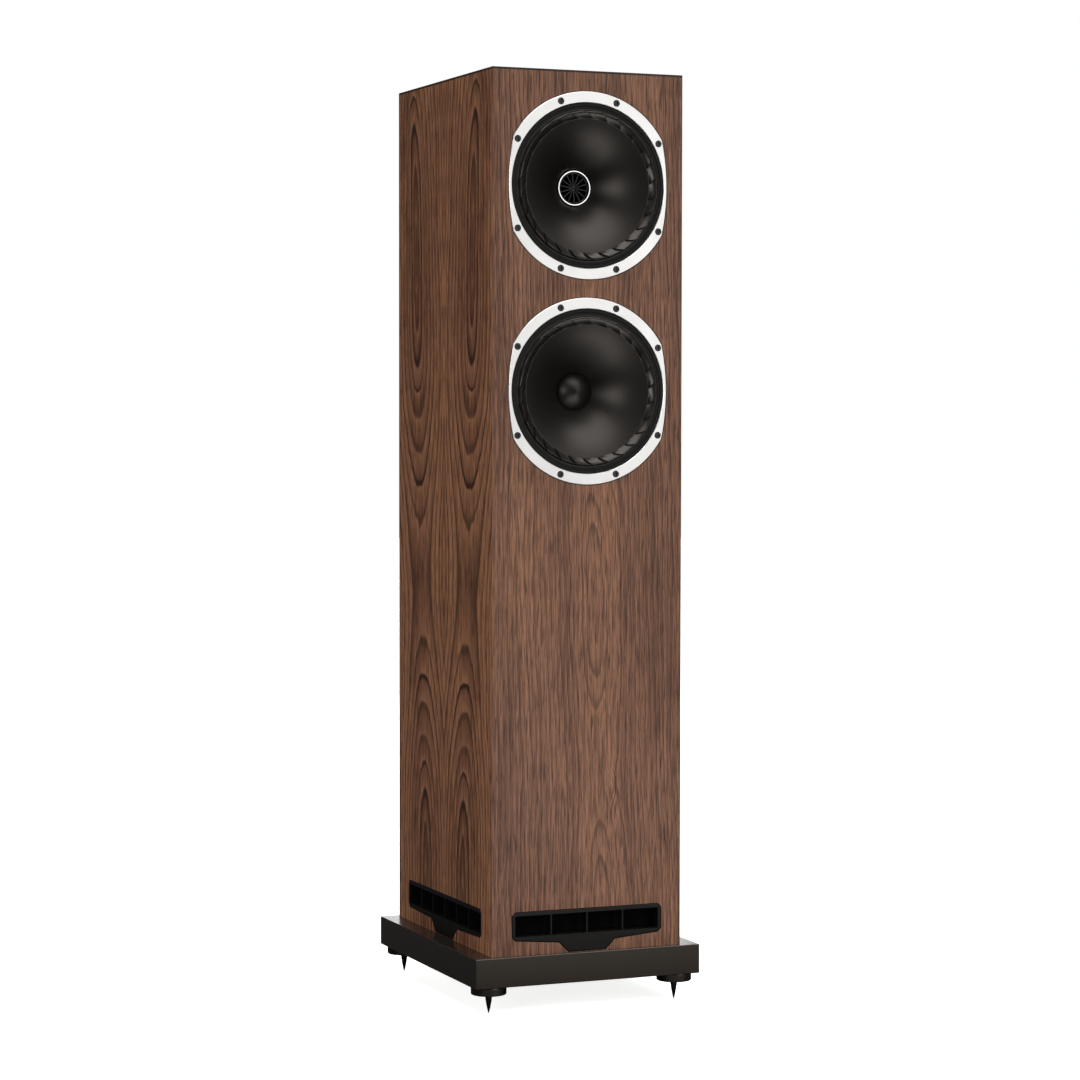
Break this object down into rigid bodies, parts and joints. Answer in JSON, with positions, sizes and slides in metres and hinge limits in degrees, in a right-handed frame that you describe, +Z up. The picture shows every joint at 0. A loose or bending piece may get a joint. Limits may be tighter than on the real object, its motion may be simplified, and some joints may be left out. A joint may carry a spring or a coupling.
{
  "type": "floorstanding speaker",
  "caption": "Tall veneered floorstanding loudspeaker with a coaxial and a bass drive unit, floor-level slotted vents and a black plinth on adjustable spikes.",
  "frame": {"origin": "on the floor under the spikes' tips, at the middle of the speaker's outer box (plinth front to terminal caps)", "axes": "+Z up, +Y from the front baffle to the terminals at the back, +X to the right as a listener faces the speaker"},
  "size_m": [0.2974, 0.361, 1.1407],
  "materials": {
    "walnut_veneer": "satin lacquered walnut veneer, straight grain in front, crown-cut on the sides",
    "bare_board": "unfinished fibreboard",
    "wadding_fibre": "loose white polyester fibre",
    "port_plastic": "moulded black plastic, fine texture",
    "vent_plastic": "moulded black plastic, satin",
    "plinth_lacquer": "black satin lacquer on fibreboard",
    "black_steel": "blackened steel",
    "turned_brass": "turned, gold plated",
    "gasket_rubber": "matt moulded rubber",
    "plated_steel": "zinc plated",
    "ferrite": "ground ferrite",
    "ring_aluminium": "satin brushed, bright chamfers",
    "cast_frame": "black powder coat on die casting",
    "surround_rubber": "satin black rubber",
    "spider_cloth": "resin dipped woven cloth",
    "cone_paper": "black coated paper fibre, satin",
    "copper_winding": "enamelled copper wire",
    "bright_metal": "polished",
    "plug_plastic": "black moulding",
    "diaphragm_metal": "spun light metal",
    "plate_aluminium": "black anodised, brushed",
    "red_cap": "clear red plastic over brass",
    "black_cap": "black plastic over brass",
    "circuit_board": "green solder mask",
    "capacitor_film": "yellow wrapped film",
    "loom_rubber": "black cable sheath",
    "foot_metal": "black nickel plated turned steel"
  },
  "bodies": {
    "cabinet": {"base_board": "bare_board", "crossover_board": "circuit_board", "crossover_capacitors": "capacitor_film", "crossover_coils": "copper_winding", "damping_wadding": "wadding_fibre", "driver_gaskets": "gasket_rubber", "driver_magnets": "ferrite", "driver_screws": "black_steel", "driver_top_plates": "plated_steel", "foot_bushes": "turned_brass", "front_baffle": "walnut_veneer", "front_vent_grille": "vent_plastic", "left_side_panel": "walnut_veneer", "left_vent_grille": "vent_plastic", "lower_back_plate": "plated_steel", "lower_basket": "cast_frame", "lower_spider": "spider_cloth", "lower_surround": "surround_rubber", "lower_trim_ring": "ring_aluminium", "phase_plug": "plug_plastic", "plinth": "plinth_lacquer", "plinth_bolts": "black_steel", "port_diffuser": "port_plastic", "port_shelf": "bare_board", "port_tube": "port_plastic", "rear_panel": "walnut_veneer", "rear_vent_grille": "vent_plastic", "right_side_panel": "walnut_veneer", "right_vent_grille": "vent_plastic", "terminal_plate": "plate_aluminium", "terminal_posts": "turned_brass", "terminal_screws": "black_steel", "top_panel": "walnut_veneer", "tweeter_motor": "plated_steel", "tweeter_throat": "bright_metal", "upper_back_plate": "plated_steel", "upper_basket": "cast_frame", "upper_spider": "spider_cloth", "upper_surround": "surround_rubber", "upper_trim_ring": "ring_aluminium", "window_braces": "bare_board", "wiring_looms": "loom_rubber"},
    "foot_wheel_front_left": {"foot_wheel_front_left": "foot_metal"},
    "foot_spike_front_left": {"foot_spike_front_left": "foot_metal"},
    "foot_wheel_front_right": {"foot_wheel_front_right": "foot_metal"},
    "foot_spike_front_right": {"foot_spike_front_right": "foot_metal"},
    "foot_wheel_rear_left": {"foot_wheel_rear_left": "foot_metal"},
    "foot_spike_rear_left": {"foot_spike_rear_left": "foot_metal"},
    "foot_wheel_rear_right": {"foot_wheel_rear_right": "foot_metal"},
    "foot_spike_rear_right": {"foot_spike_rear_right": "foot_metal"},
    "upper_cone_assembly": {"upper_cone": "cone_paper", "upper_voice_coil": "copper_winding"},
    "lower_cone_assembly": {"lower_cone": "cone_paper", "lower_voice_coil": "copper_winding", "lower_dust_cap": "cone_paper"},
    "tweeter_diaphragm": {"tweeter_diaphragm": "diaphragm_metal"},
    "post_washer_red": {"post_washer_red": "turned_brass"},
    "post_cap_red": {"post_cap_red": "red_cap"},
    "post_washer_black": {"post_washer_black": "turned_brass"},
    "post_cap_black": {"post_cap_black": "black_cap"}
  },
  "joints": [
    {"name": "foot_wheel_front_left_turn", "type": "hinge", "parent": "cabinet", "child": "foot_wheel_front_left", "pos_m": [-0.1237, -0.15875, 0.0285], "axis": [0, 0, 1], "range_deg": [-1440, 1440]},
    {"name": "foot_spike_front_left_lift", "type": "slide", "parent": "cabinet", "child": "foot_spike_front_left", "axis": [0, 0, 1], "range_m": [-0.0051, 0.0051]},
    {"name": "foot_wheel_front_right_turn", "type": "hinge", "parent": "cabinet", "child": "foot_wheel_front_right", "pos_m": [0.1237, -0.15875, 0.0285], "axis": [0, 0, 1], "range_deg": [-1440, 1440]},
    {"name": "foot_spike_front_right_lift", "type": "slide", "parent": "cabinet", "child": "foot_spike_front_right", "axis": [0, 0, 1], "range_m": [-0.0051, 0.0051]},
    {"name": "foot_wheel_rear_left_turn", "type": "hinge", "parent": "cabinet", "child": "foot_wheel_rear_left", "pos_m": [-0.1237, 0.14175, 0.0285], "axis": [0, 0, 1], "range_deg": [-1440, 1440]},
    {"name": "foot_spike_rear_left_lift", "type": "slide", "parent": "cabinet", "child": "foot_spike_rear_left", "axis": [0, 0, 1], "range_m": [-0.0051, 0.0051]},
    {"name": "foot_wheel_rear_right_turn", "type": "hinge", "parent": "cabinet", "child": "foot_wheel_rear_right", "pos_m": [0.1237, 0.14175, 0.0285], "axis": [0, 0, 1], "range_deg": [-1440, 1440]},
    {"name": "foot_spike_rear_right_lift", "type": "slide", "parent": "cabinet", "child": "foot_spike_rear_right", "axis": [0, 0, 1], "range_m": [-0.0051, 0.0051]},
    {"name": "upper_cone_travel", "type": "slide", "parent": "cabinet", "child": "upper_cone_assembly", "axis": [0, 1, 0], "range_m": [-0.005, 0.005], "stiffness_N_per_m": 1200, "deforming": ["upper_surround", "upper_spider"]},
    {"name": "lower_cone_travel", "type": "slide", "parent": "cabinet", "child": "lower_cone_assembly", "axis": [0, 1, 0], "range_m": [-0.005, 0.005], "stiffness_N_per_m": 1200, "deforming": ["lower_surround", "lower_spider"]},
    {"name": "tweeter_travel", "type": "slide", "parent": "cabinet", "child": "tweeter_diaphragm", "axis": [0, 1, 0], "range_m": [-0.0004, 0.0004], "stiffness_N_per_m": 2000},
    {"name": "post_washer_red_slide", "type": "slide", "parent": "cabinet", "child": "post_washer_red", "axis": [0, 1, 0], "range_m": [0, 0.0061]},
    {"name": "post_cap_red_turn", "type": "hinge", "parent": "post_washer_red", "child": "post_cap_red", "pos_m": [-0.02, 0.1705, 0.2197], "axis": [0, 1, 0], "range_deg": [0, 2160]},
    {"name": "post_washer_black_slide", "type": "slide", "parent": "cabinet", "child": "post_washer_black", "axis": [0, 1, 0], "range_m": [0, 0.0061]},
    {"name": "post_cap_black_turn", "type": "hinge", "parent": "post_washer_black", "child": "post_cap_black", "pos_m": [0.02, 0.1705, 0.2197], "axis": [0, 1, 0], "range_deg": [0, 2160]}
  ],
  "couplings": [
    {"joint": "foot_spike_front_left_lift", "follows": "foot_wheel_front_left_turn", "m_per_rad": -0.00019894},
    {"joint": "foot_spike_front_right_lift", "follows": "foot_wheel_front_right_turn", "m_per_rad": -0.00019894},
    {"joint": "foot_spike_rear_left_lift", "follows": "foot_wheel_rear_left_turn", "m_per_rad": -0.00019894},
    {"joint": "foot_spike_rear_right_lift", "follows": "foot_wheel_rear_right_turn", "m_per_rad": -0.00019894},
    {"joint": "post_washer_red_slide", "follows": "post_cap_red_turn", "m_per_rad": 0.00015915},
    {"joint": "post_washer_black_slide", "follows": "post_cap_black_turn", "m_per_rad": 0.00015915}
  ]
}
